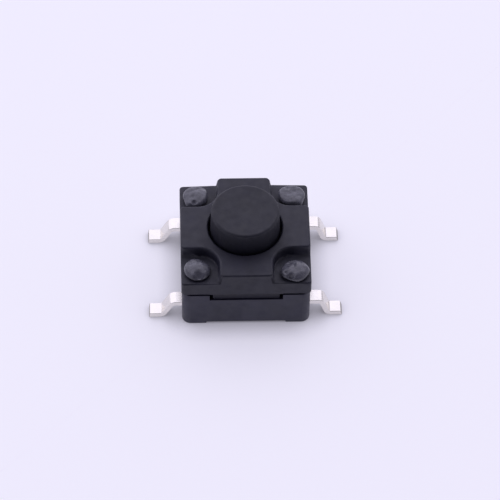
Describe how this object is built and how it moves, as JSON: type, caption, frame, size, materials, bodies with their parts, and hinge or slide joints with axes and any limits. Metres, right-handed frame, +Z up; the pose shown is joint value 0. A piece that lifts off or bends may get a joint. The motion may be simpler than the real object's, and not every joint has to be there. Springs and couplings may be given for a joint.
{
  "type": "tactile push button switch",
  "caption": "Square surface-mount tactile switch: black moulded base and staked cover, round push button over a snap disc, silver-plated gull-wing feet.",
  "frame": {"origin": "centre of the footprint, on the plane of the board that the feet stand on", "axes": "+X from the middle towards the right-hand feet, +Y towards the back of the picture's view, +Z up from the board along the button's travel"},
  "size_m": [0.009, 0.006, 0.0047],
  "materials": {
    "base_plastic": "black moulded plastic, fine matte",
    "cover_plastic": "black moulded plastic, matte",
    "button_plastic": "black moulded plastic, matte",
    "spring_steel": "bright spring steel",
    "plated_strip": "bright silver-white plating"
  },
  "bodies": {
    "housing": {"base": "base_plastic", "cover": "cover_plastic", "snap_disc": "spring_steel", "terminal_front": "plated_strip", "terminal_back": "plated_strip"},
    "button": {"button": "button_plastic"}
  },
  "joints": [
    {"name": "button_press", "type": "slide", "parent": "housing", "child": "button", "axis": [0, 0, -1], "range_m": [0, 0.00025], "stiffness_N_per_m": 6400, "deforming": ["snap_disc"]}
  ]
}
